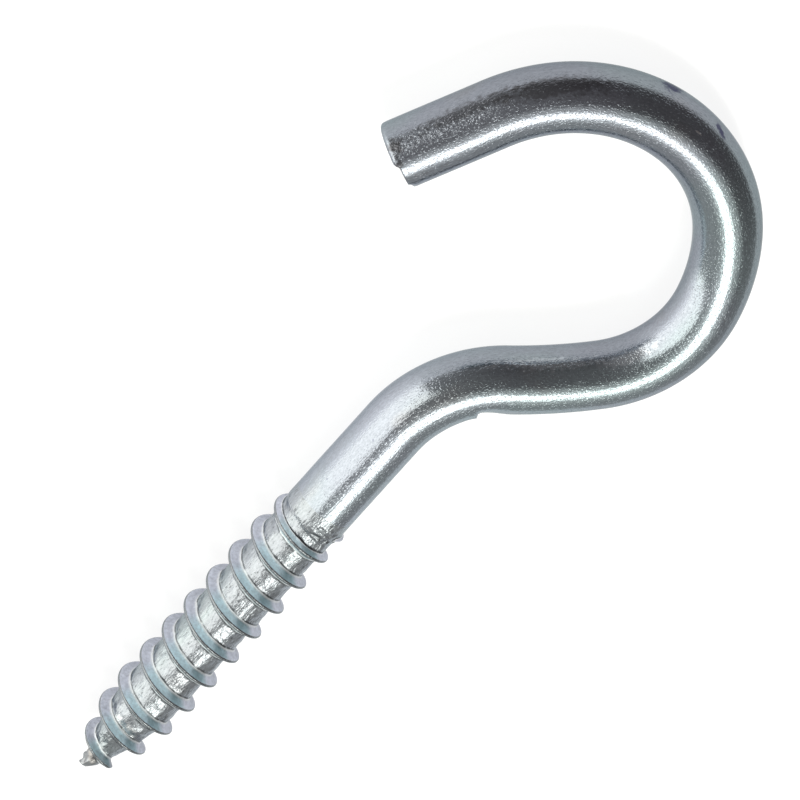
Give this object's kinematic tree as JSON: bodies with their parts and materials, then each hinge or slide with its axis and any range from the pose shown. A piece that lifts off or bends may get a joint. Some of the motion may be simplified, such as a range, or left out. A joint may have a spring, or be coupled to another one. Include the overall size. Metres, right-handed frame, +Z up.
{
  "type": "screw hook",
  "caption": "Open round hook bent from plated steel wire, with an offset shank and a coarse wood-screw thread and point.",
  "frame": {"origin": "under the middle of the hook's box, on the surface it lies on", "axes": "+X along the screw's axis from its point to the hook, hook in a level plane with its nose towards +Y, +Z up"},
  "size_m": [0.0822, 0.0364, 0.0071],
  "materials": {
    "bright_zinc": "bright zinc plate with a clear blue passivate over drawn wire"
  },
  "bodies": {
    "root": {"screw_hook": "bright_zinc"}
  },
  "joints": []
}
